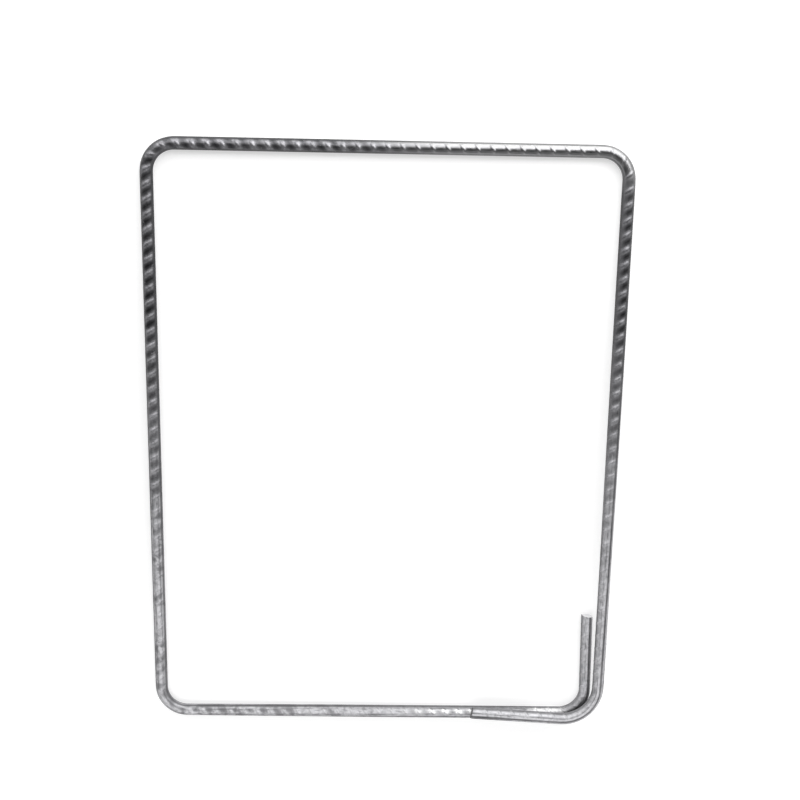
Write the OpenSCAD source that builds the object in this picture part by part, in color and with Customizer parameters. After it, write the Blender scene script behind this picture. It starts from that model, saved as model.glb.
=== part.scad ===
// Rebar stirrup: one deformed steel bar bent cold into a closed rectangular loop with two hooked
// ends that lap at one corner. The loop lies flat: the bar starts in the lower tail, runs round the
// bottom, left and top legs on the floor, climbs by one bar thickness along the right leg, and its
// upper tail closes over the start of the bottom leg. Millimetres, Z up, loop length along Y.

/* [Loop] */
// Outside width of the loop, along X
loop_w = 300; // [220:5:400]
// Outside length of the loop, along Y
loop_l = 380; // [280:5:500]
// Inner radius of each bend but the upper hook's
bend_in_r = 13; // [8:1:18]

/* [Bar] */
// Nominal diameter of the bar
bar_d = 8; // [6.5:0.5:10]
// Height of a transverse rib above the core, at the middle of its crescent
rib_h = 0.5; // [0.35:0.05:0.7]
// Distance from one transverse rib to the next, along the bar
rib_pitch = 9; // [7.5:0.5:12]
// Angle of a transverse rib to the axis of the bar
rib_angle = 60; // [55:1:68]
// Width of a transverse rib at its crest
rib_crest_w = 0.9; // [0.5:0.1:1.3]
// Width of a transverse rib at its foot
rib_foot_w = 2.5; // [2:0.1:3]
// Height of the two lengthwise ribs above the core
seam_h = 0.3; // [0.2:0.05:0.6]
// Width of the two lengthwise ribs
seam_w = 1.5; // [1:0.1:2]

/* [Hooked ends] */
// Length of the lower tail, from the middle of the bottom leg to its cut end
low_tail = 71; // [45:1:110]
// Length of the upper tail, from the middle of the right leg to its cut end
top_tail = 84; // [50:1:130]
// How far the lower tail stands inside the right leg at the corner
low_tail_inset = 7.5; // [4:0.5:14]
// Degrees the lower tail splays away from the right leg
low_tail_splay = 1.5; // [0:0.5:4]
// Inner radius of the upper hook's bend, which closes round the outside of the lower one
top_bend_in_r = 19; // [10:1:24]
// How far the right leg leans in on its way to the upper hook
leg_lean = 0.8; // [0:0.2:3]
// Degrees the upper tail is bent past square, into the loop
top_tail_splay = 3.5; // [0:0.5:5]
// How far the upper bend overhangs the bottom leg
top_bend_drop = 1.2; // [0:0.2:3]
// Daylight between the upper tail and the bottom leg it lies over
lap_gap = 0.3; // [0.2:0.1:1]
// Degrees the bar twists about its own axis on its way down the right leg
leg_twist = 50; // [0:5:80]
// Degrees the lower tail is rolled outward, a twist that fades out along the bottom leg
tail_roll = 40; // [0:5:60]
// Degrees by which the shear left the cut faces out of square
cut_slant = 10; // [0:1:14]

/* [Hidden] */
$fn = 48;
core_r = bar_d / 2 - 0.25;           // the core alone, between the ribs
crest_r = core_r + rib_h;            // over the transverse ribs
half_w = (loop_w - bar_d) / 2;
half_l = (loop_l - bar_d) / 2;
swell = 0.02;                        // a bend is this much fuller than the straight bar
overlap = 0.1;                       // how far a straight run enters a bend
root = 0.4;                          // how deep the foot of a rib lies in the core
blade_bite = 1.4;                    // how far the shear's bevel reaches across a cut face
bite_angle = 32;                     // slope of that bevel, degrees
low_z = crest_r;                     // the lower layer rests on its rib crests
top_z = low_z + 2 * crest_r + lap_gap;

// Corner points of the bar's middle line, from the lower cut end to the upper one
low_corner = [half_w - low_tail_inset, -half_l, low_z];
top_corner = [half_w - leg_lean, -half_l - top_bend_drop, top_z];
corners = [
    low_corner + low_tail * [-sin(low_tail_splay), cos(low_tail_splay), 0],
    low_corner,
    [-half_w, -half_l, low_z],
    [-half_w, half_l, low_z],
    [half_w, half_l, low_z],
    top_corner,
    top_corner + top_tail * [-cos(top_tail_splay), sin(top_tail_splay), 0],
];
last = len(corners) - 2;             // number of the last straight run
twists = [0, -tail_roll, 0, 0, leg_twist, 0]; // twist of the bar over each straight run

// Bending schedule worked out from the corner points
function unit(v) = v / norm(v);
function heading(i) = unit(corners[i + 1] - corners[i]);
function turn(i) = acos(heading(i) * heading(i + 1));
// Radius of the bar's middle line in bend i, and how far the bend reaches back over a run, in degrees
function bend_r(i) = (i == last - 1 ? top_bend_in_r : bend_in_r) + bar_d / 2;
function lead(i) = overlap / bend_r(i) * 180 / PI;
function setback(i) = i < 0 || i >= last ? 0 : bend_r(i) * tan(turn(i) / 2);
function run(i) = norm(corners[i + 1] - corners[i]) - setback(i - 1) - setback(i);
function arc(i) = bend_r(i) * turn(i) * PI / 180;
// The direction from the bar's middle to the centre of bend i, at the bend's start
function inward(i) = unit(heading(i + 1) - (heading(i + 1) * heading(i)) * heading(i));
// The same direction carried through the bend, where the next run starts
function carried(i) = cos(turn(i)) * inward(i) - sin(turn(i)) * heading(i);
function roll(i) = i == 0 ? 0 :
    atan2(cross(carried(i - 1), inward(i)) * heading(i), carried(i - 1) * inward(i));
// Distance along the bar to the start of run i, and the bar's own roll there
function start(i) = i == 0 ? 0 : start(i - 1) + run(i - 1) + arc(i - 1);
function seam(i) = i == 0 ? tail_roll : seam(i - 1) + twists[i - 1] - roll(i - 1);
function seam_in_bend(i) = seam(i) + twists[i] - roll(i);
bar_length = start(last) + run(last);

// Transverse ribs that fall between two distances along the bar
function first_rib(s) = ceil((s - rib_pitch / 2) / rib_pitch);
function rib_at(k) = (k + 0.5) * rib_pitch;
function ribs(s0, s1) = [for (k = [first_rib(s0) : first_rib(s1) - 1])
    if (rib_at(k) < bar_length - rib_pitch / 3) rib_at(k)];

// Section of the bar: the round core and one lengthwise rib on each side, g larger all round
module section(g = 0) {
    circle(r = core_r + g);
    for (side = [0, 180]) rotate(side) seam_section(g);
}

module seam_section(g = 0) {
    polygon([[core_r - 1, -seam_w * 0.6 - g], [core_r + seam_h + g, -seam_w * 0.32 - g],
        [core_r + seam_h + g, seam_w * 0.32 + g], [core_r - 1, seam_w * 0.6 + g]]);
}

// A tilted ring with sloping flanks: it leaves a crescent rib on two opposite faces of the bar
module cross_rib() {
    foot = rib_crest_w / 2 + (rib_foot_w - rib_crest_w) / 2 * (1 + root / rib_h);
    rotate([0, rib_angle - 90, 0]) rotate_extrude()
        polygon([[0, -foot], [core_r - root, -foot], [crest_r, -rib_crest_w / 2],
            [crest_r, rib_crest_w / 2], [core_r - root, foot], [0, foot]]);
}

// What the shear took away beyond a cut end: a slanted face, and a bevel where the blade bit first.
// It is no wider than the tail, which lies close beside another leg.
module shear_off() {
    reach = 2 * bar_d;
    intersection() {
        cylinder(r = crest_r + lap_gap / 3, h = bar_d, center = true);
        union() {
            rotate([0, cut_slant, 0]) translate([-reach, -reach, 0]) cube([2 * reach, 2 * reach, reach]);
            translate([0, core_r - blade_bite, 0]) rotate([-bite_angle, 0, 0])
                translate([-reach, -reach, 0]) cube([2 * reach, 2 * reach, reach]);
        }
    }
}

// Run i of the bar without its transverse ribs; a tail is longer, for the shear to cut
module run_stock(i) {
    a = i == 0 ? bar_d / 4 : overlap;
    h = a + run(i) + (i == last ? bar_d / 4 : overlap);
    translate([0, 0, -a]) if (twists[i] == 0) rotate(seam(i)) linear_extrude(height = h) section();
    else {
        cylinder(r = core_r, h = h);
        for (side = [0, 180]) rotate(seam(i) + side)
            linear_extrude(height = h, twist = -twists[i], slices = 25, segments = 4)
                seam_section();
    }
}

module run_ribs(i) {
    for (s = ribs(start(i), start(i) + run(i))) translate([0, 0, s - start(i)])
        rotate(seam(i) + twists[i] * (s - start(i)) / run(i)) cross_rib();
}

// Bend i, and its transverse ribs
module bend_stock(i) {
    about_bend(i, -lead(i)) rotate([90, 0, 180]) translate([-bend_r(i), 0, 0])
        rotate_extrude(angle = turn(i) + 2 * lead(i))
            translate([bend_r(i), 0]) mirror([1, 0]) rotate(seam_in_bend(i)) section(swell);
}

module bend_ribs(i) {
    s0 = start(i) + run(i);
    for (s = ribs(s0, s0 + arc(i)))
        about_bend(i, (s - s0) / bend_r(i) * 180 / PI) rotate(seam_in_bend(i)) cross_rib();
}

// Carries its children round the centre of bend i, by an angle
module about_bend(i, a) {
    translate([bend_r(i), 0, 0]) rotate([0, a, 0]) translate([-bend_r(i), 0, 0]) children();
}

// Carries its children from the start of run i to the start of the bend after it
module into_bend(i) {
    translate([0, 0, run(i)]) rotate(roll(i)) children();
}

// The bar's stock from the start of run i to its upper end
module stock(i = 0) {
    run_stock(i);
    if (i < last) into_bend(i) {
        bend_stock(i);
        about_bend(i, turn(i)) stock(i + 1);
    }
}

// The transverse ribs from the start of run i on
module rib_row(i = 0) {
    run_ribs(i);
    if (i < last) into_bend(i) {
        bend_ribs(i);
        about_bend(i, turn(i)) rib_row(i + 1);
    }
}

// Carries its children from the start of run i to the upper cut end
module at_upper_end(i = 0) {
    if (i < last) into_bend(i) about_bend(i, turn(i)) at_upper_end(i + 1) children();
    else translate([0, 0, run(i)]) children();
}

// Stands run 0 on the lower cut end and points it down the tail
module stirrup_bar() {
    color("SlateGray") translate(corners[0])
        rotate([90, 0, 0]) rotate([0, low_tail_splay, 0]) rotate([0, 0, 180]) difference() {
            union() {
                stock();
                rib_row();
            }
            rotate([180, 0, 180]) shear_off();
            at_upper_end() shear_off();
        }
}

stirrup_bar();
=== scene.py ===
"""Rebar stirrup: the ribbed bar's finished surface, its steel, and the studio around it."""
import math
from types import SimpleNamespace
from typing import NamedTuple

import bpy
import numpy as np
from mathutils import Matrix, Vector


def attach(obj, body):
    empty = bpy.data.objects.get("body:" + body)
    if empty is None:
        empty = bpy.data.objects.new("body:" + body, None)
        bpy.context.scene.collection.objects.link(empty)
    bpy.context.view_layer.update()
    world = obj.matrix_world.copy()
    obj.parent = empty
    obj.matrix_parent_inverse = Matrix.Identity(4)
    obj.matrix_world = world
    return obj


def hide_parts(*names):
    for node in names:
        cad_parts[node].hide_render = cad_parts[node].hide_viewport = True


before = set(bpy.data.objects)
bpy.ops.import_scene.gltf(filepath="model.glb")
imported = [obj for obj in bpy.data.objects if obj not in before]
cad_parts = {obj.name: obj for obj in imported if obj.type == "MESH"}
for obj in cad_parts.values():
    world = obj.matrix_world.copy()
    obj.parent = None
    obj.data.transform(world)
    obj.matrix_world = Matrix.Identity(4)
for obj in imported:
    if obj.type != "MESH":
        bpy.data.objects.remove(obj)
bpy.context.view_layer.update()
rng = np.random.default_rng(8)

MM = 0.001

# Sizes of the bar and its bends, in mm and degrees, as in the part's source
LOOP_W, LOOP_L = 300.0, 380.0
BAR_D = 8.0
BEND_IN_R, TOP_BEND_IN_R = 13.0, 19.0
RIB_H, RIB_PITCH, RIB_ANGLE = 0.5, 9.0, 60.0
SEAM_H, SEAM_W = 0.3, 1.5
LOW_TAIL, TOP_TAIL = 71.0, 84.0
LOW_TAIL_INSET, LOW_TAIL_SPLAY = 7.5, 1.5
TOP_TAIL_SPLAY, TOP_BEND_DROP, LEG_LEAN = 3.5, 1.2, 0.8
LAP_GAP, CUT_SLANT = 0.3, 10.0
LEG_TWIST, TAIL_ROLL = 50.0, 40.0
BLADE_BITE, BITE_ANGLE = 1.4, 32.0

CORE_R = BAR_D / 2 - 0.25
CREST_R = CORE_R + RIB_H
BEND_R = BEND_IN_R + BAR_D / 2
LEAN = math.tan(math.radians(90 - RIB_ANGLE))
RIB_COS = math.cos(math.radians(90 - RIB_ANGLE))
TWISTS = {1: -TAIL_ROLL, 4: LEG_TWIST}  # of the bottom and the right leg, the lower tail being run 0

# Form of the finished surface, in mm
CREST_FLAT = 0.3  # half of a rib's flat crest
FLANK_FOOT, FLANK_SLOPE = 0.3, 1.15  # width of a rib's flank, and what it gains with the rib's height
RUBBED_AND_LIT = (1.0, 3.1)  # how far from a rib's middle the wear, and the painted light band with it, start to fade, and where they end
SEAM_SHADOW_LINE = 1.45  # how far the painted shadow beside a lengthwise rib lies from it, round the bar
LENGTHWISE_LINE = 4.0  # how far the dark lengthwise lines lie from that rib
RIB_LOSS, INNER_LOSS = 0.14, 0.3  # share of a rib's height lost in a bend, and more of it inside
OUTER_THIN = 0.12  # how much the bar is drawn thinner outside a bend
BEND_EASE = 7.0  # length over which a bend's effects come in
LEAN_EASE, CUT_EASE = 11.0, 6.0  # lengths over which the rings take the ribs' lean and the cuts' slant
RIM_LENGTH, RIM_DEPTH = 0.8, 0.25  # rounding of a cut end's rim
UNEVEN = 0.018  # mean depth of the surface's unevenness

# Where the bar may lie on itself and take a painted contact shadow, in mm: right of the first and before
# the second
HOOKS_X, HOOKS_Y = 20.0, -90.0
ONE_STRETCH = 60.0  # points closer than this along the bar aren't a lap
LAP_SHADOW_FADE = (0.3, 4.0)

# Rings and lines of the bar's mesh, in mm
RIB_RINGS = np.array([-1.5, -1.15, -0.8, -0.5, 0.0, 0.5, 0.8, 1.15, 1.5])
GAP_RINGS = np.array([2.75, 4.5, 6.25])
END_RINGS = [0.35, 0.8, 1.5, 2.3]
CLOSEST_RINGS = 0.2
SEAM_LINES = np.array([-1.15, -0.85, -0.55, -0.28, 0.0, 0.28, 0.55, 0.85, 1.15])
SIDE_LINES = 15
CAP_SHARES = (0.965, 0.86, 0.7, 0.5, 0.28, 0.0)  # rings of a cut face, as shares of its rim
STREAK_DRAW = 0.12  # distance along the bar is shortened to this share, which draws streaks out

# Layout of the UV map, in mm: strips of skin, and the cut faces' places beside them
STRIPS, STRIP_GAP, STRIP_MARGIN = 8, 1.5, 2
CAP_MARGIN, LOW_CAP, TOP_CAP = 14, 8, 26

# Zones of the finish, in metres: where each starts to fade in, and where it is full
SIDE_LEGS = (0.139, 0.144)  # x to either side
TOP_LEG = (0.155, 0.178)  # y
BOTTOM_LEG = (-0.165, -0.178)  # y
BOTTOM_LEG_AND_BENDS = (-0.150, -0.172)  # y
LOWER_LAYER = (0.0096, 0.0087)  # z
SHADED_SCALE, LIT_SCALE = 0.065, 0.54  # grey of the mill scale at the top leg, painted dark as shade, and near the hooks, painted pale as light

FLOOR_LIT = 0.5  # the floor's own grey, which carries the shadow
FLOOR_GLOW, WALL_GLOW = 0.6, 0.95  # light of the floor's own, near the stirrup and far out
GLOW_REACH = (0.35, 1.1)  # where the one turns into the other, in metres

LENS, SENSOR = 50.9, 36.0
CAMERA_TILT, CAMERA_YAW, CAMERA_ROLL = 0.2291062, 0.0235445, -0.0148758
CAMERA_PLACE = (0.010212, 0.028071, 0.72654)  # the eye in the camera's own axes


# ---------------------------------------------------------------- small tools

def unit(v):
    return v / np.linalg.norm(v)


def square_to(head, v):
    """The unit vector square to head, on the side where v points."""
    return unit(v - (v @ head) * head)


def smooth(x):
    """A step from 0 to 1 with soft ends, over x from 0 to 1."""
    x = np.clip(x, 0, 1)
    return x * x * (3 - 2 * x)


def soft_step(x, low, high):
    return smooth((x - low) / (high - low))


# ---------------------------------------------------------------- path of the bar

def corner_points():
    """The bar's middle line as corner points, from the lower cut end to the upper one."""
    half_w, half_l = (LOOP_W - BAR_D) / 2, (LOOP_L - BAR_D) / 2
    low_z = CREST_R
    top_z = low_z + 2 * CREST_R + LAP_GAP
    splay, past = math.radians(LOW_TAIL_SPLAY), math.radians(TOP_TAIL_SPLAY)
    low = np.array([half_w - LOW_TAIL_INSET, -half_l, low_z])
    top = np.array([half_w - LEG_LEAN, -half_l - TOP_BEND_DROP, top_z])
    return [
        low + LOW_TAIL * np.array([-math.sin(splay), math.cos(splay), 0]),
        low,
        np.array([-half_w, -half_l, low_z]),
        np.array([-half_w, half_l, low_z]),
        np.array([half_w, half_l, low_z]),
        top,
        top + TOP_TAIL * np.array([-math.cos(past), math.sin(past), 0]),
    ]


class Stretch(NamedTuple):
    """A straight run or a bend, with the bar's place and axes where it starts."""

    start: float  # distance along the bar
    length: float
    radius: float  # of the middle line in a bend, None in a straight run
    origin: np.ndarray
    along: np.ndarray
    inward: np.ndarray
    seam: float  # roll of the lengthwise rib
    twist: float  # how much that roll changes over the stretch


class BarPath:
    """Straight runs and bends: gives the point and the axes of the bar at any distance along it."""

    def __init__(self, corners):
        heads = [unit(b - a) for a, b in zip(corners, corners[1:])]
        turns = [math.acos(a @ b) for a, b in zip(heads, heads[1:])]
        radii = [BEND_R] * (len(turns) - 1) + [TOP_BEND_IN_R + BAR_D / 2]
        setbacks = [0.0] + [r * math.tan(t / 2) for r, t in zip(radii, turns)] + [0.0]
        self.stretches = []
        s, seam, inward = 0.0, math.radians(TAIL_ROLL), square_to(heads[0], heads[1])
        for i, head in enumerate(heads):
            run = np.linalg.norm(corners[i + 1] - corners[i]) - setbacks[i] - setbacks[i + 1]
            twist = math.radians(TWISTS.get(i, 0.0))
            begin = corners[i] + head * setbacks[i]
            self.stretches.append(Stretch(s, run, None, begin, head, inward, seam, twist))
            s, seam = s + run, seam + twist
            if i == len(turns):
                break
            into = square_to(head, heads[i + 1])
            seam -= math.atan2(np.cross(inward, into) @ head, inward @ into)
            arc = radii[i] * turns[i]
            self.stretches.append(Stretch(s, arc, radii[i], begin + head * run, head, into, seam, 0.0))
            s += arc
            inward = math.cos(turns[i]) * into - math.sin(turns[i]) * head
        self.length = s
        self.starts = np.array([stretch.start for stretch in self.stretches])

    def at(self, s):
        """Point, direction along the bar, direction inward and roll of the seam, for many distances."""
        s = np.asarray(s, float)
        last = len(self.stretches) - 1
        which = np.clip(np.searchsorted(self.starts, s, side="right") - 1, 0, last)
        point, along, inward = (np.empty(s.shape + (3,)) for _ in range(3))
        roll = np.empty(s.shape)
        for number, stretch in enumerate(self.stretches):
            here = which == number
            d = s[here] - stretch.start
            roll[here] = stretch.seam + stretch.twist * np.clip(d / stretch.length, 0, 1)
            if stretch.radius is None:
                point[here] = stretch.origin + d[:, None] * stretch.along
                along[here] = stretch.along
                inward[here] = stretch.inward
            else:
                cos = np.cos(d / stretch.radius)[:, None]
                sin = np.sin(d / stretch.radius)[:, None]
                aside = (1 - cos) * stretch.inward + sin * stretch.along
                point[here] = stretch.origin + stretch.radius * aside
                along[here] = cos * stretch.along + sin * stretch.inward
                inward[here] = cos * stretch.inward - sin * stretch.along
        return point, along, inward, roll

    def curvature(self, s):
        """1 / bend radius inside the bends, eased over some millimetres at their ends."""
        total = np.zeros(np.shape(s))
        for stretch in self.stretches:
            if stretch.radius:
                entered = smooth((s - stretch.start) / BEND_EASE + 0.5)
                not_left = smooth((stretch.start + stretch.length - s) / BEND_EASE + 0.5)
                total += entered * not_left / stretch.radius
        return total


# ---------------------------------------------------------------- surface of the bar

def rib_stations(length):
    """Distance along the bar of each transverse rib's middle."""
    return np.arange(RIB_PITCH / 2, length - RIB_PITCH / 3, RIB_PITCH)


def ring_stations(stations, length):
    """Distances of the mesh rings: close across each rib, wide between them, closer at the cut ends."""
    rings = [0.0, length]
    for s in stations:
        rings += list(s + RIB_RINGS / RIB_COS) + list(s + GAP_RINGS)
    rings += END_RINGS + [length - e for e in END_RINGS]
    rings = np.unique(np.round([r for r in rings if 0 <= r <= length], 4))
    keep = np.concatenate([[True], np.diff(rings) > CLOSEST_RINGS])
    keep[-1] = True
    return rings[keep]


def around_angles():
    """Angles round the section, from the middle of one lengthwise rib: closer across the two ribs."""
    over_seam = np.degrees(np.arcsin(SEAM_LINES / CORE_R))
    side = np.linspace(over_seam[-1], 180 - over_seam[-1], SIDE_LINES)[1:-1]
    return np.radians(np.concatenate([over_seam, side, over_seam + 180, side + 180]))


def crescent(angle):
    """Height of a transverse rib round the section: highest on the two faces, gone at the seams."""
    reach = CREST_R * RIB_COS
    ellipse = 1 / np.sqrt((np.cos(angle) / reach) ** 2 + (np.sin(angle) / CREST_R) ** 2)
    return np.clip(ellipse - CORE_R, 0, None)


def patchy(points, scale, seed):
    """Smooth irregular values, mostly between -1 and 1, over space, from a few crossed waves."""
    waves, count = np.random.default_rng(seed), 7
    total = np.zeros(len(points))
    for _ in range(count):
        direction = unit(waves.normal(size=3)) * 2 * math.pi / scale * waves.uniform(0.6, 1.8)
        total += np.sin(points @ direction + waves.uniform(0, 2 * math.pi))
    return total / count * 1.6


def unevenness(point, angle):
    """How far the rolled surface lies below its full radius, here more and there less."""
    spots, turn = point.reshape(-1, 3), angle.reshape(-1, 1)
    wave = patchy(spots + 3 * turn, 17, 1) + 0.7 * patchy(spots + 5 * turn, 6, 2)
    return UNEVEN * (1 + wave.reshape(angle.shape) * 0.5)


def cut_face(x, y):
    """How far the sheared face stands beyond the cut's middle: a slanted plane and the blade's bevel."""
    slanted = -x * math.tan(math.radians(CUT_SLANT))
    bevel = -(y - (CORE_R - BLADE_BITE)) * math.tan(math.radians(BITE_ANGLE))
    return np.minimum(slanted, bevel)


def leaned(path, s, angle):
    """Distances of the rings' points: they lean as the ribs do, and end in the sheared faces."""
    turned = angle + path.at(s)[3]
    x, y = CORE_R * np.cos(turned), CORE_R * np.sin(turned)
    lean = CORE_R * np.cos(angle) * LEAN / (1 - path.curvature(s) * x)
    left = path.length - s
    inside = soft_step(s, 0, LEAN_EASE) * soft_step(left, 0, LEAN_EASE)
    at_start, at_end = 1 - soft_step(s, 0, CUT_EASE), 1 - soft_step(left, 0, CUT_EASE)
    return s + inside * lean - at_start * cut_face(-x, y) + at_end * cut_face(x, y)


def relief(s, angle, turned, curve, station, strength):
    """Radius of the bar at distance s and section angle, and masks of the ribs' wear with its painted
    light, the painted shadow beside the lengthwise ribs, and dark lengthwise lines.
    """
    x_section, x_frame = CORE_R * np.cos(angle), CORE_R * np.cos(turned)
    off = ((s - station) * (1 - curve * x_frame) - x_section * LEAN) * RIB_COS
    squeeze = curve * BEND_R * (RIB_LOSS + INNER_LOSS * np.clip(np.cos(turned), 0, 1))
    height = crescent(angle) * strength * (1 - squeeze)
    rib_shape = 1 - soft_step(np.abs(off), CREST_FLAT, CREST_FLAT + FLANK_FOOT + FLANK_SLOPE * height)
    seam_off = np.abs(((angle + math.pi / 2) % math.pi) - math.pi / 2) * CORE_R
    seam_shape = 1 - soft_step(seam_off, SEAM_W * 0.24, SEAM_W * 0.62)
    rib, seam = height * rib_shape, SEAM_H * seam_shape * 0.95
    # wear on the ribs, widened into a painted light band round each rib
    rubbed_and_lit = (1 - soft_step(np.abs(off), *RUBBED_AND_LIT)) * np.clip(height / (0.5 * RIB_H), 0, 1)
    masks = {
        "crest": np.maximum(rubbed_and_lit, 0.6 * seam_shape),
        "gutter": 1 - soft_step(np.abs(seam_off - SEAM_SHADOW_LINE), 0.35, 1.0),
        "roller": 1 - soft_step(np.abs(seam_off - LENGTHWISE_LINE), 0.3, 0.9),
    }
    return CORE_R + np.maximum(rib, seam), masks


def lap_shadow_mask(path, spots, s):
    """1 where the bar lies close to another stretch of itself, fading out over some millimetres: the mask
    of a painted contact shadow.
    """
    far = 99.0
    way = np.arange(0, path.length, 2.0)
    middle = path.at(way)[0]
    gap = np.full(s.shape, far)
    near_hooks = (spots[..., 1] < HOOKS_Y) & (spots[..., 0] > HOOKS_X)
    apart = np.abs(s[near_hooks][:, None] - way[None, :]) > ONE_STRETCH
    reach = np.linalg.norm(spots[near_hooks][:, None, :] - middle[None, :, :], axis=2)
    gap[near_hooks] = np.where(apart, reach, far).min(1) - CREST_R
    return 1 - soft_step(gap, *LAP_SHADOW_FADE)


def bar_rings(path):
    """The bar's surface points and masks (rings, points round), the rings' distances and the angles."""
    stations = rib_stations(path.length)
    strengths = 1 - 0.16 * rng.random(len(stations)) ** 2
    rings, angles = ring_stations(stations, path.length), around_angles()
    upright, angle = np.meshgrid(rings, angles, indexing="ij")
    nearest = np.abs(rings[:, None] - stations[None, :]).argmin(1)[:, None]
    station, strength = (np.broadcast_to(a[nearest], angle.shape) for a in (stations, strengths))
    s = leaned(path, upright, angle)
    point, along, inward, roll = path.at(s)
    turned, curve = angle + roll, path.curvature(s)
    radius, masks = relief(s, angle, turned, curve, station, strength)
    outer = curve * BEND_R * np.clip(-np.cos(turned), 0, 1)
    rounded = 1 - soft_step(np.minimum(upright, path.length - upright), 0, RIM_LENGTH)
    radius = radius - unevenness(point, angle) - OUTER_THIN * outer - RIM_DEPTH * rounded
    cos, sin = np.cos(turned)[..., None], np.sin(turned)[..., None]
    spots = point + radius[..., None] * (cos * inward + sin * np.cross(along, inward))
    masks["rub"] = curve * BEND_R * np.abs(np.cos(turned)) ** 2
    masks["lap"] = lap_shadow_mask(path, spots, upright)
    return spots, masks, rings, angles


# ---------------------------------------------------------------- mesh of the bar

def cut_cap(path, ring, at_start):
    """Rings of points that close a cut end, from the rim inwards, and the middle point."""
    end = 0.0 if at_start else path.length
    point, along, inward, _ = (a[0] for a in path.at(np.array([end])))
    side = np.cross(along, inward)
    x, y = (ring - point) @ inward, (ring - point) @ side
    sign = -1 if at_start else 1
    noise = np.random.default_rng(3 if at_start else 4)
    layers = []
    for share in CAP_SHARES:
        px, py = x * share, y * share
        torn = 0.05 * soft_step(-py, -1.5, 2.5) * (noise.random(len(px)) - 0.5)
        crown = 0.03 if share < 0.9 else 0.0
        rise = sign * cut_face(sign * px, py) + torn + sign * crown
        spots = point + px[:, None] * inward + py[:, None] * side + rise[:, None] * along
        layers.append(spots if share else spots[:1])
    return layers


def add_cap(points, faces, rim, layers, at_start):
    """Joins a cap's layers to the rim's vertex numbers and to each other."""
    rim, count = list(rim), len(rim)
    for layer in layers:
        fresh = [len(points) + j for j in range(len(layer))]
        points.extend(layer)
        for j in range(count):
            k = (j + 1) % count
            inner = [fresh[0]] if len(layer) == 1 else [fresh[k], fresh[j]]
            face = [rim[j], rim[k]] + inner
            faces.append(face[::-1] if at_start else face)
        rim = fresh


def skin_faces(count, around):
    """Quads between neighbouring rings, all round the bar."""
    row, col = np.meshgrid(np.arange(count - 1), np.arange(around), indexing="ij")
    here, beside = row * around + col, row * around + (col + 1) % around
    return np.stack([here, beside, beside + around, here + around], -1).reshape(-1, 4).tolist()


def store(mesh, name, values):
    """Keeps one value per vertex in the mesh, for the material."""
    mesh.attributes.new(name, "FLOAT", "POINT").data.foreach_set("value", values.astype(np.float32))


def store_lengthwise(mesh, rings, angles, extra):
    """Coordinates that follow the bar, for streaks: drawn-out distance along it, and its own section."""
    way, angle = np.meshgrid(rings * STREAK_DRAW, angles, indexing="ij")
    skin = np.stack([way, CORE_R * np.cos(angle), CORE_R * np.sin(angle)], -1).reshape(-1, 3)
    places = np.concatenate([skin, np.zeros((extra, 3))]).astype(np.float32)
    mesh.attributes.new("bar_co", "FLOAT_VECTOR", "POINT").data.foreach_set("vector", places.ravel())


def cap_layout(mesh, first_loop, across):
    """Places of the two cut faces' corners in the UV layout, in mm."""
    co = np.empty(len(mesh.vertices) * 3)
    mesh.vertices.foreach_get("co", co)
    loops = np.empty(len(mesh.loops), int)
    mesh.loops.foreach_get("vertex_index", loops)
    cap = co.reshape(-1, 3)[loops[first_loop:]] / MM
    spots = np.empty((len(cap), 2))
    low = cap[:, 2] < 2 * CREST_R  # the lower tail's cut face; the other belongs to the upper tail
    for chosen, side, up in ((low, 0, LOW_CAP), (~low, 1, TOP_CAP)):
        face = cap[chosen]
        spots[chosen] = (face - face.mean(0))[:, [side, 2]] + [across, up]
    return spots


def lay_out(mesh, rings, angles):
    """UVs: the bar's skin as stacked strips along its length, and the cut faces beside them."""
    girth, length = 2 * math.pi * CREST_R, rings[-1] / STRIPS
    strip_pitch = girth + STRIP_GAP
    strip_of = np.minimum((rings[:-1] / rings[-1] * STRIPS).astype(int), STRIPS - 1)
    round_share = np.append(angles - angles[0], 2 * math.pi) / (2 * math.pi)
    row, col = np.meshgrid(np.arange(len(rings) - 1), np.arange(len(angles)), indexing="ij")
    strip = strip_of[row]
    corners = [(row, col), (row, col + 1), (row + 1, col + 1), (row + 1, col)]
    u = np.stack([rings[r] - strip * length + STRIP_MARGIN for r, _ in corners], -1)
    v = np.stack([strip * strip_pitch + round_share[c] * girth for _, c in corners], -1)
    skin = np.stack([u, v], -1).reshape(-1, 2)
    spots = np.concatenate([skin, cap_layout(mesh, len(skin), length + CAP_MARGIN)])
    spots = spots / (STRIPS * strip_pitch)
    layer = mesh.uv_layers.new(name="OFBake")
    layer.uv.foreach_set("vector", spots.astype(np.float32).ravel())


def bar_mesh(path):
    """The bar as one closed mesh, in metres, with its finish's masks and a strip layout for its UVs."""
    spots, masks, rings, angles = bar_rings(path)
    count, around = spots.shape[:2]
    points = list(spots.reshape(-1, 3))
    on_skin = len(points)
    faces = skin_faces(count, around)
    smooth_faces = len(faces)
    add_cap(points, faces, range(around), cut_cap(path, spots[0], True), True)
    add_cap(points, faces, range(on_skin - around, on_skin), cut_cap(path, spots[-1], False), False)

    mesh = bpy.data.meshes.new("stirrup")
    mesh.from_pydata((np.array(points) * MM).tolist(), [], faces)
    extra = len(points) - on_skin
    for name, mask in masks.items():
        store(mesh, name, np.concatenate([mask.ravel(), np.zeros(extra)]))
    store(mesh, "cut", np.concatenate([np.zeros(on_skin), np.ones(extra)]))
    store_lengthwise(mesh, rings, angles, extra)
    lay_out(mesh, rings, angles)
    mesh.polygons.foreach_set("use_smooth", [k < smooth_faces for k in range(len(faces))])
    mesh.update()
    return mesh


# ---------------------------------------------------------------- materials

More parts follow.
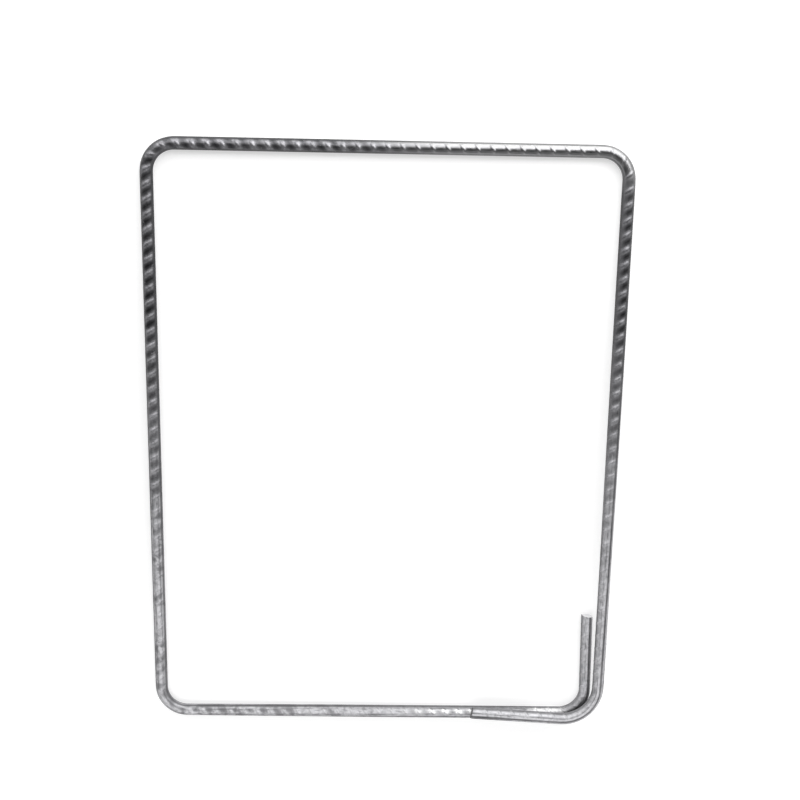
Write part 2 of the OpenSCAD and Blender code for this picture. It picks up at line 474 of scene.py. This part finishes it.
class Nodes:
    """Short names for building a node tree."""

    def __init__(self, name):
        self.material = bpy.data.materials.new(name)
        self.material.use_nodes = True
        self.tree = self.material.node_tree
        self.tree.nodes.clear()

    def add(self, kind, **settings):
        node = self.tree.nodes.new("ShaderNode" + kind)
        for key, value in settings.items():
            setattr(node, key, value)
        return node

    def link(self, source, target):
        self.tree.links.new(source, target)

    def fill(self, socket, value):
        """Links a socket's source, or sets a plain value."""
        if isinstance(value, bpy.types.NodeSocket):
            self.link(value, socket)
        else:
            socket.default_value = value

    def math(self, operation, *values, clamp=False):
        node = self.add("Math", operation=operation, use_clamp=clamp)
        for socket, value in zip(node.inputs, values):
            self.fill(socket, value)
        return node.outputs[0]

    def times(self, *values):
        """The product of several values."""
        product = values[0]
        for value in values[1:]:
            product = self.math("MULTIPLY", product, value)
        return product

    def linear(self, value, gain, base):
        """value * gain + base."""
        return self.math("MULTIPLY_ADD", value, gain, base)

    def inverse(self, value):
        """1 - value."""
        return self.math("SUBTRACT", 1.0, value)

    def ramp(self, value, low, high, out_low=0.0, out_high=1.0):
        """A soft step from out_low to out_high as the value goes from low to high."""
        node = self.add("MapRange", interpolation_type="SMOOTHSTEP")
        for socket, given in zip(node.inputs, (value, low, high, out_low, out_high)):
            self.fill(socket, given)
        return node.outputs[0]

    def band(self, value, low, high, fade):
        """1 between two values, fading out over a short way inside them."""
        return self.times(self.ramp(value, low, low + fade), self.ramp(value, high, high - fade))

    def mix(self, share, a, b):
        node = self.add("Mix", data_type="RGBA")
        for socket, value in ((node.inputs[0], share), (node.inputs[6], a), (node.inputs[7], b)):
            self.fill(socket, value)
        return node.outputs[2]

    def paint(self, tone, share, level, blue=0.03):
        """A tone painted over with a grey, by a share."""
        return self.mix(share, tone, grey(level, blue))

    def noise(self, vector, scale, detail, roughness, distortion=0.0):
        node = self.add("TexNoise")
        self.link(vector, node.inputs["Vector"])
        settings = {"Scale": scale, "Detail": detail, "Roughness": roughness, "Distortion": distortion}
        for name, value in settings.items():
            node.inputs[name].default_value = value
        return node.outputs["Fac"]

    def attribute(self, name, output="Fac"):
        return self.add("Attribute", attribute_name=name).outputs[output]

    def parts(self, vector):
        """The three components of a vector."""
        node = self.add("SeparateXYZ")
        self.link(vector, node.inputs[0])
        return node.outputs["X"], node.outputs["Y"], node.outputs["Z"]


def grey(level, blue=0.03):
    """A neutral colour with a little more blue than red and green."""
    return (level * (1 - 0.4 * blue), level * (1 - 0.6 * blue), level * (1 + blue), 1.0)


def bar_inputs(n):
    """What the bar's finish is made from, by name: places, facings, the mesh's masks and noises."""
    space, lengthwise = n.add("TexCoord").outputs["Object"], n.attribute("bar_co", "Vector")
    masks = ("crest", "rub", "cut", "gutter", "roller", "lap")
    given = SimpleNamespace(**{name: n.attribute(name) for name in masks})
    given.x, given.y, given.z = n.parts(space)
    given.facing_x, given.facing_y, given.facing_z = n.parts(n.add("NewGeometry").outputs["Normal"])
    given.clouds = n.noise(space, 34, 4, 0.6, 0.3)
    given.patches = n.noise(space, 90, 3, 0.6, 0.4)
    given.mottle = n.noise(space, 420, 5, 0.65, 0.2)
    given.streaks = n.noise(lengthwise, 0.55, 4, 0.6, 0.4)
    given.grain = n.noise(space, 2600, 3, 0.6)
    given.flakes = n.ramp(n.noise(space, 230, 6, 0.7, 0.6), 0.60, 0.68)
    # a painted fall from shade to light: darker round the top leg and paler towards the hooked corner, laid
    # on as mill scale that is thick round the top leg and thins out towards the hooks
    given.bare = n.ramp(n.math("ADD", given.y, n.linear(given.clouds, 0.16, -0.08)), 0.105, -0.085)
    given.scaled = n.inverse(given.bare)
    given.side_leg = n.ramp(n.math("ABSOLUTE", given.x), *SIDE_LEGS)
    # the top leg is burnished on its right half, which also carries a painted highlight
    given.burnish = n.times(n.ramp(given.x, -0.04, 0.05), n.ramp(given.y, *TOP_LEG))
    return given


def by_scale_and_light(n, i, dark, pale):
    """One colour where the scale is thick and painted shaded, and another where it is thin and painted lit.
    """
    return n.mix(i.bare, dark, pale)


def scale_tone(n, i):
    """Colour of the mill scale between the ribs: streaked, mottled and scabby, with painted shade that
    makes it darkest on the side legs.
    """
    # painted shade round the top leg and painted light towards the hooks, as darker and paler scale
    tone = by_scale_and_light(n, i, grey(SHADED_SCALE, 0.04), grey(LIT_SCALE, 0.02))
    pale_streaks = n.ramp(i.streaks, 0.52, 0.70, 0, 0.6)
    tone = n.mix(pale_streaks, tone, by_scale_and_light(n, i, grey(0.17), grey(0.64, 0.02)))
    dark_streaks = n.ramp(i.streaks, 0.48, 0.32, 0, 0.75)
    tone = n.mix(dark_streaks, tone, by_scale_and_light(n, i, grey(0.05), grey(0.20, 0.02)))
    spots = n.ramp(i.mottle, 0.48, 0.70, 0, 0.6)
    tone = n.mix(spots, tone, by_scale_and_light(n, i, grey(0.04), grey(0.24, 0.02)))
    more_on_the_left = n.linear(n.ramp(i.x, 0.03, -0.05), 0.45, 0.25)
    tone = n.paint(tone, n.times(n.ramp(i.patches, 0.46, 0.58), more_on_the_left), 0.12)
    # painted shade: the side legs are darkened where the scale is thick
    return n.paint(tone, n.times(i.side_leg, i.scaled, 0.7), 0.018)


def worn_and_lit_share(n, i):
    """Where the bar is rubbed: on its ribs, with a painted light band round each, at the sides of its bends
    and in small flakes.
    """
    worn_and_lit = n.times(i.crest, n.ramp(i.mottle, 0.35, 0.65, 1.0, 0.5), n.linear(i.burnish, -0.5, 1.0))
    worn_and_lit = n.math("MAXIMUM", worn_and_lit, n.times(i.rub, n.ramp(i.mottle, 0.42, 0.66, 0.0, 0.6)))
    return n.math("MAXIMUM", worn_and_lit, n.times(i.flakes, 0.5), clamp=True)


def polish_and_painted_highlights(n, i, tone):
    """The top leg's right half is burnished and painted with a highlight, brightest outside; the right leg
    is paler on its inner side.
    """
    # painted highlight: the burnished right half of the top leg is painted paler
    tone = n.paint(tone, n.times(i.burnish, 0.7), 0.30, 0.01)
    # painted highlight along the outer, upward side of that half
    edge_highlight = n.times(n.ramp(i.facing_y, 0.4, 0.8), n.ramp(i.facing_z, -0.25, 0.25))
    edge_highlight = n.times(i.burnish, edge_highlight, n.ramp(i.streaks, 0.30, 0.55, 0.45, 0.85))
    tone = n.paint(tone, edge_highlight, 0.55, 0.0)
    inner = n.times(n.ramp(i.x, *SIDE_LEGS), n.ramp(i.facing_x, 0.0, -0.55), i.scaled, 0.65)
    return n.paint(tone, inner, 0.18)


def dark_lines(n, i, tone):
    """Dark lengthwise lines where the scale is thin, and a painted shadow beside the lengthwise ribs."""
    tone = n.paint(tone, n.times(i.roller, i.bare, n.ramp(i.streaks, 0.40, 0.60, 0.0, 0.75)), 0.10)
    # painted shadow beside the lengthwise ribs
    return n.paint(tone, n.times(i.gutter, n.ramp(i.streaks, 0.30, 0.60, 0.45, 0.9)), 0.07)


def kept_scale(n, i, tone):
    """Scale kept between the ribs on the bottom leg's crown: at its left end, and before the upper tail."""
    left, right = n.ramp(i.x, -0.045, -0.085), n.times(n.band(i.x, 0.010, 0.068, 0.015), 0.6)
    crown = n.times(n.band(i.facing_y, -0.10, 0.80, 0.25), n.ramp(i.facing_z, 0.3, 0.5))
    crown = n.times(crown, n.ramp(i.y, *BOTTOM_LEG_AND_BENDS))
    between = n.times(n.inverse(i.crest), n.ramp(i.mottle, 0.40, 0.56, 0.95, 0.6))
    kept = n.times(n.math("ADD", left, right), crown, between, n.ramp(i.z, *LOWER_LAYER))
    return n.paint(tone, kept, 0.15)


def painted_shade(n, i, tone):
    """Painted shade: sides darker than the crown, the upper tail's lower side darker, and a painted contact
    shadow where the bar lies on itself.
    """
    but_burnished = n.linear(n.times(i.burnish, n.ramp(i.facing_z, -0.5, 0.0)), -0.85, 1.0)
    # painted shade: the sides are darker than the crown
    side = n.times(n.ramp(i.facing_z, 0.85, 0.25, 0.0, 0.6), but_burnished)
    tone = n.mix(side, tone, by_scale_and_light(n, i, grey(0.05), grey(0.10)))
    # painted shade on the upper tail's lower side
    on_tail = n.times(n.ramp(i.x, 0.100, 0.065), n.ramp(i.z, 0.0080, 0.0095))
    tone = n.paint(tone, n.times(on_tail, n.ramp(i.facing_y, 0.20, -0.10), 0.7), 0.08)
    # painted contact shadow where the bar lies on itself, darkest in the hooked corner
    return n.paint(tone, n.times(i.lap, n.ramp(i.x, 0.118, 0.130, 0.6, 0.95)), 0.02)


def painted_highlight_stretches(n, i, tone):
    """Painted highlights: bright, broken stretches of the bottom leg, on one side of the upper tail's end
    and by its bend.
    """
    by_end = n.times(n.ramp(i.x, 0.008, 0.046), n.ramp(i.x, 0.068, 0.060))
    by_end = n.times(by_end, n.band(i.facing_y, 0.05, 0.85, 0.25), n.linear(i.crest, 0.9, 0.1))
    past_crown = n.times(n.ramp(i.facing_y, 0.05, 0.30), n.ramp(i.facing_y, 1.0, 0.93))
    by_bend = n.times(n.band(i.x, 0.096, 0.1275, 0.010), past_crown, n.linear(i.crest, 0.4, 0.55))
    broken = n.times(n.ramp(i.y, *BOTTOM_LEG), n.ramp(i.z, *LOWER_LAYER))
    broken = n.times(broken, n.ramp(i.mottle, 0.64, 0.44, 0.5, 0.95))
    # painted highlight: near-white stretches on the bottom leg
    return n.paint(tone, n.times(n.math("ADD", by_end, by_bend), broken), 0.92, 0.0)


def bar_tone(n, i, worn_and_lit):
    """Colour of the bar: its scale, the worn ribs with painted light round them, the layers over both,
    painted highlights and painted shade among them, and the cut faces, one painted shaded and one painted
    lit.
    """
    # painted shade: the ribs on the side legs are a little darker, which dims their glints
    ridge = n.mix(i.side_leg, grey(0.34), grey(0.30))
    tone = n.mix(worn_and_lit, scale_tone(n, i), by_scale_and_light(n, i, ridge, grey(0.58, 0.02)))
    for layer in (polish_and_painted_highlights, dark_lines, kept_scale, painted_shade, painted_highlight_stretches):
        tone = layer(n, i, tone)
    # painted light and shade: the upper tail's cut face is painted dark as shaded, the lower tail's pale as
    # lit
    upper_cut_shaded, lower_cut_lit = grey(0.14, 0.02), grey(0.76, 0.01)
    return n.mix(i.cut, tone, n.mix(n.ramp(i.x, 0.09, 0.12), upper_cut_shaded, lower_cut_lit))


def bar_roughness(n, i, worn_and_lit):
    """Rougher where the scale is thin or the ribs are worn, smoother where the bar is burnished."""
    rough = n.linear(i.bare, 0.12, n.ramp(i.mottle, 0.3, 0.7, 0.36, 0.5))
    rough = n.linear(worn_and_lit, n.linear(n.times(i.side_leg, i.scaled), 0.16, 0.16), rough)
    return n.linear(i.burnish, -0.10, rough)


def bar_bump(n, i):
    """Fine grain and mottling of the scale, with shallow pits where it flaked off."""
    height = n.linear(i.grain, 0.25, n.times(i.mottle, 0.8))
    height = n.linear(i.flakes, -0.5, height)
    bump = n.add("Bump")
    bump.inputs["Strength"].default_value = 0.55
    bump.inputs["Distance"].default_value = 0.00012
    n.link(height, bump.inputs["Height"])
    return bump.outputs[0]


def bar_steel():
    """Hot-rolled steel: dark mill scale, painted darker round the top leg as shade and paler towards the
    hooks as light, rubbed on the ribs, with painted highlights and painted shade over it, and sheared ends.
    """
    n = Nodes("bar_steel_finish")
    i = bar_inputs(n)
    worn_and_lit = worn_and_lit_share(n, i)
    settings = {
        "Base Color": bar_tone(n, i, worn_and_lit),
        "Roughness": bar_roughness(n, i, worn_and_lit),
        "Metallic": n.linear(n.times(i.bare, n.inverse(i.cut)), -0.3, 0.95),
        "Specular IOR Level": 0.5,
        "Normal": bar_bump(n, i),
    }
    shader = n.add("BsdfPrincipled")
    for name, value in settings.items():
        n.fill(shader.inputs[name], value)
    n.link(shader.outputs[0], n.add("OutputMaterial").inputs[0])
    return n.material


def pale_floor():
    """White floor: some of its light is its own, more so far out; the rest is cast and shows the shadow."""
    n = Nodes("floor_white")
    path = n.add("LightPath")
    seen = n.math("MAXIMUM", path.outputs["Is Camera Ray"], path.outputs["Is Glossy Ray"])
    seen = n.math("MAXIMUM", seen, path.outputs["Is Transmission Ray"])
    diffuse = n.add("BsdfDiffuse")
    diffuse.inputs["Color"].default_value = (FLOOR_LIT, FLOOR_LIT, FLOOR_LIT, 1)
    away = n.add("VectorMath", operation="LENGTH")
    n.link(n.add("TexCoord").outputs["Object"], away.inputs[0])
    own = n.ramp(away.outputs["Value"], *GLOW_REACH, FLOOR_GLOW, WALL_GLOW)
    glow = n.add("Emission")
    n.link(n.times(seen, own), glow.inputs["Strength"])
    both = n.add("AddShader")
    n.link(diffuse.outputs[0], both.inputs[0])
    n.link(glow.outputs[0], both.inputs[1])
    n.link(both.outputs[0], n.add("OutputMaterial").inputs[0])
    return n.material


# ---------------------------------------------------------------- studio

def place(name, data):
    thing = bpy.data.objects.new(name, data)
    bpy.context.scene.collection.objects.link(thing)
    return thing


def level_circle(r, z, count):
    """Points on a circle round the origin, in metres."""
    turns = np.linspace(0, 2 * math.pi, count, endpoint=False)
    return [(r * math.cos(a), r * math.sin(a), z) for a in turns]


def backdrop():
    """A flat white floor that sweeps up into a low wall all round, far outside the view."""
    reach, sweep, height, around = 6.0, 0.5, 1.6, 96
    profile = [(0.6, 0.0), (2.0, 0.0)]
    for a in np.radians(np.arange(0, 91, 15)):
        profile.append((reach - sweep + sweep * math.sin(a), sweep - sweep * math.cos(a)))
    profile.append((reach, height))
    points = [(0.0, 0.0, 0.0)]
    for r, z in profile:
        points += level_circle(r, z, around)
    faces = []
    for k in range(around):
        j = (k + 1) % around
        faces.append((0, 1 + k, 1 + j))
        for row in range(len(profile) - 1):
            first, second = 1 + row * around, 1 + (row + 1) * around
            faces.append((first + k, second + k, second + j, first + j))
    mesh = bpy.data.meshes.new("studio_floor")
    mesh.from_pydata(points, [], faces)
    mesh.polygons.foreach_set("use_smooth", [True] * len(faces))
    mesh.materials.append(pale_floor())
    return place("studio_floor", mesh)


def softbox(name, position, target, size, radiance, spread=180):
    """An oblong area lamp at a place, facing a target, with the given brightness of its face."""
    data = bpy.data.lights.new(name, "AREA")
    data.shape, data.size, data.size_y = "RECTANGLE", size[0], size[1]
    data.energy = radiance * math.pi * size[0] * size[1]
    data.spread = math.radians(spread)
    lamp = place(name, data)
    lamp.location = position
    lamp.visible_camera = False
    lamp.rotation_euler = (Vector(target) - Vector(position)).to_track_quat("-Z", "Y").to_euler()


def sky(overhead, horizon):
    """A dim room: darker overhead than at the horizon."""
    world = bpy.data.worlds.new("studio_air")
    world.use_nodes = True
    tree = world.node_tree
    direction = tree.nodes.new("ShaderNodeTexCoord")
    parts = tree.nodes.new("ShaderNodeSeparateXYZ")
    tree.links.new(direction.outputs["Generated"], parts.inputs[0])
    fade = tree.nodes.new("ShaderNodeMapRange")
    fade.interpolation_type = "SMOOTHSTEP"
    for socket, value in zip(list(fade.inputs)[1:5], (0.0, 0.25, horizon, overhead)):
        socket.default_value = value
    tree.links.new(parts.outputs["Z"], fade.inputs[0])
    tree.links.new(fade.outputs[0], tree.nodes["Background"].inputs["Strength"])
    tree.nodes["Background"].inputs["Color"].default_value = (0.99, 0.985, 1.0, 1)
    bpy.context.scene.world = world


def camera():
    """Looks down on the stirrup from above its top leg, tilted towards the hooks."""
    data = bpy.data.cameras.new("camera")
    data.sensor_width, data.lens = SENSOR, LENS
    data.clip_start, data.clip_end = 0.02, 20
    turn = Matrix.Rotation(CAMERA_ROLL, 3, "Z") @ Matrix.Rotation(CAMERA_YAW, 3, "Y")
    turn = turn @ Matrix.Rotation(CAMERA_TILT, 3, "X")
    to_world = turn.transposed()
    eye = place("camera", data)
    eye.matrix_world = Matrix.Translation(to_world @ Vector(CAMERA_PLACE)) @ to_world.to_4x4()
    bpy.context.scene.camera = eye


# ---------------------------------------------------------------- scene

bar = place("bar", bar_mesh(BarPath(corner_points())))
bar.data.materials.append(bar_steel())
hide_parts("stirrup_bar")
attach(bar, "root")

floor = backdrop()
sky(overhead=0.05, horizon=0.22)
softbox("window", (0.60, 0.66, 0.36), (0.60, 0.48, 0.0), (1.2, 0.72), 5.0)
softbox("rear", (-0.60, 0.66, 0.36), (-0.60, 0.48, 0.0), (1.2, 0.72), 2.5)
softbox("front", (0.0, -0.42, 0.34), (0.0, -0.38, 0.0), (1.2, 0.5), 1.1, spread=110)
camera()

scene = bpy.context.scene
scene.view_settings.view_transform = "Standard"
